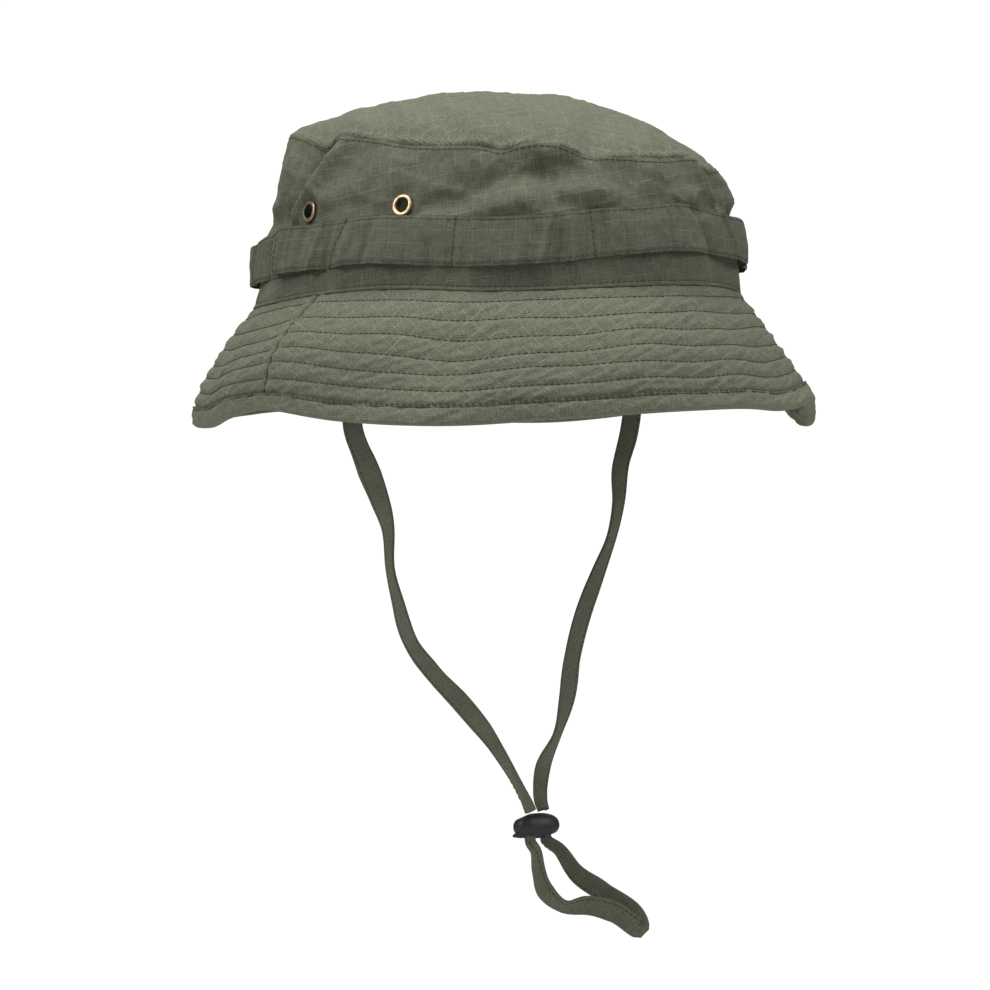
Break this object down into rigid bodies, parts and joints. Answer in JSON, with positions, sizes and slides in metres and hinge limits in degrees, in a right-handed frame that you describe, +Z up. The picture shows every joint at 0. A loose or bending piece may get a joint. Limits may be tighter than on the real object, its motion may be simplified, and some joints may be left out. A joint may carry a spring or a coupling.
{
  "type": "boonie hat",
  "caption": "Soft boonie hat with a domed crown, foliage band, vents, a drooping stitched brim and a chin strap with a slider.",
  "frame": {"origin": "centre of the head opening, at the height of the seam between the crown and the brim", "axes": "+Z up through the crown, -Y towards the wearer's front, -X towards the wearer's right side"},
  "size_m": [0.2278, 0.2638, 0.3344],
  "materials": {
    "crown_cloth": "olive ripstop cotton blend, matt, softly creased",
    "brim_cloth": "olive ripstop cotton blend, matt, stitched in rows",
    "tape_cloth": "olive folded cloth tape, matt, double stitched",
    "band_cloth": "olive ripstop band, matt, edge stitched",
    "sweatband_cloth": "olive drab cotton twill tape, matt",
    "stiffener": "plain stiff interlining, matt",
    "strap_cloth": "olive folded cloth tape, matt, edge stitched",
    "antique_brass": "antique brass, rolled and slightly worn",
    "black_leather": "matt black leather-like keeper with soft edges"
  },
  "bodies": {
    "hat": {"crown_top": "crown_cloth", "crown_side": "crown_cloth", "crown_top_seam": "tape_cloth", "sweatband": "sweatband_cloth", "brim_upper_front": "brim_cloth", "brim_upper_back": "brim_cloth", "brim_lower_front": "brim_cloth", "brim_lower_back": "brim_cloth", "brim_interlining": "stiffener", "brim_binding": "tape_cloth", "foliage_band": "band_cloth", "vent_eyelet_right_front": "antique_brass", "vent_eyelet_right_back": "antique_brass", "vent_eyelet_left_front": "antique_brass", "vent_eyelet_left_back": "antique_brass", "eyelet_washer_right_front": "antique_brass", "eyelet_washer_right_back": "antique_brass", "eyelet_washer_left_front": "antique_brass", "eyelet_washer_left_back": "antique_brass", "strap_anchor_right": "strap_cloth", "strap_anchor_left": "strap_cloth"},
    "strap": {"chin_strap": "strap_cloth"},
    "slider": {"strap_slider": "black_leather"}
  },
  "joints": [
    {"name": "strap_swing", "type": "hinge", "parent": "hat", "child": "strap", "pos_m": [0, 0, 0], "axis": [1, 0, 0], "range_deg": [-60, 60]},
    {"name": "slider_slide", "type": "slide", "parent": "strap", "child": "slider", "axis": [0, 0, 1], "range_m": [-0.015, 0.09], "deforming": ["chin_strap"]}
  ]
}
